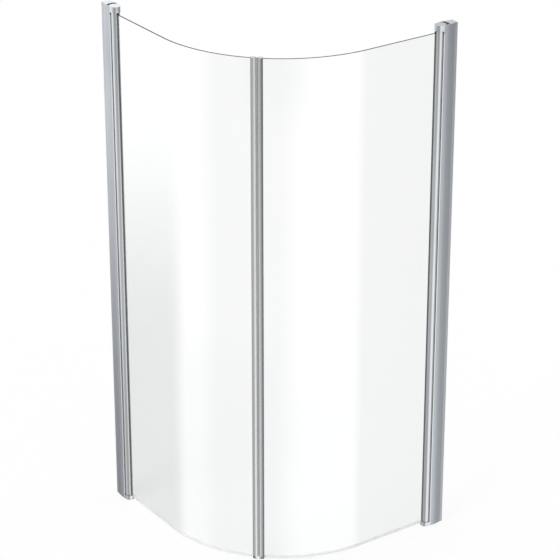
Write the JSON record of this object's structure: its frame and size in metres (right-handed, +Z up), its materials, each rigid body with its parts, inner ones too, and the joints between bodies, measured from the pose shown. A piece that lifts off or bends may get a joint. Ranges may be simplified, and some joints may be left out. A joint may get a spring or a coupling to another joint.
{
  "type": "corner shower enclosure",
  "caption": "Quadrant corner shower enclosure: curved clear glass doors hinged on aluminium wall posts, closing on magnetic edge profiles.",
  "frame": {"origin": "on the floor, under the middle of the square that the enclosure fills", "axes": "+Z up; the walls are at -X (left side's wall) and +Y (right side's wall), so the room corner is at -X +Y and the curved doors bulge towards +X -Y"},
  "size_m": [0.9, 0.9, 1.994],
  "materials": {
    "mill_aluminium": "mill finish, faint drawing lines",
    "satin_aluminium": "satin anodised silver, faint drawing lines along the length",
    "bright_aluminium": "bright anodised silver",
    "grey_cap": "satin light grey",
    "hinge_block": "satin, matched to the post",
    "steel": "ground stainless",
    "screw_steel": "polished",
    "dark_seal": "matt dark grey",
    "bush": "natural acetal",
    "glass": "clear toughened, faint green at the edges",
    "clear_seal": "clear soft vinyl",
    "magnet_strip": "translucent grey over a dark magnet"
  },
  "bodies": {
    "frame": {"left_wall_channel": "mill_aluminium", "left_post_profile": "satin_aluminium", "left_post_top_cap": "grey_cap", "left_top_hinge_block": "hinge_block", "left_bottom_hinge_block": "hinge_block", "left_top_pivot_pin": "steel", "left_bottom_pivot_pin": "steel", "left_clamp_screws": "screw_steel", "left_block_screws": "screw_steel", "left_post_seal": "dark_seal", "left_top_seal": "dark_seal", "right_wall_channel": "mill_aluminium", "right_post_profile": "satin_aluminium", "right_post_top_cap": "grey_cap", "right_top_hinge_block": "hinge_block", "right_bottom_hinge_block": "hinge_block", "right_top_pivot_pin": "steel", "right_bottom_pivot_pin": "steel", "right_clamp_screws": "screw_steel", "right_block_screws": "screw_steel", "right_post_seal": "dark_seal", "right_top_seal": "dark_seal"},
    "left_door": {"left_hinge_profile": "bright_aluminium", "left_top_bush": "bush", "left_bottom_bush": "bush", "left_glass_gasket": "dark_seal", "left_glass": "glass", "left_drip_seal": "clear_seal", "left_edge_profile": "satin_aluminium", "left_edge_end_caps": "grey_cap", "left_magnet_strip": "magnet_strip"},
    "right_door": {"right_hinge_profile": "bright_aluminium", "right_top_bush": "bush", "right_bottom_bush": "bush", "right_glass_gasket": "dark_seal", "right_glass": "glass", "right_drip_seal": "clear_seal", "right_edge_profile": "satin_aluminium", "right_edge_end_caps": "grey_cap", "right_magnet_strip": "magnet_strip"}
  },
  "joints": [
    {"name": "left_hinge", "type": "hinge", "parent": "frame", "child": "left_door", "pos_m": [-0.3815, -0.43, 0], "axis": [0, 0, -1], "range_deg": [-75, 95]},
    {"name": "right_hinge", "type": "hinge", "parent": "frame", "child": "right_door", "pos_m": [0.43, 0.3815, 0], "axis": [0, 0, 1], "range_deg": [-75, 95]}
  ]
}
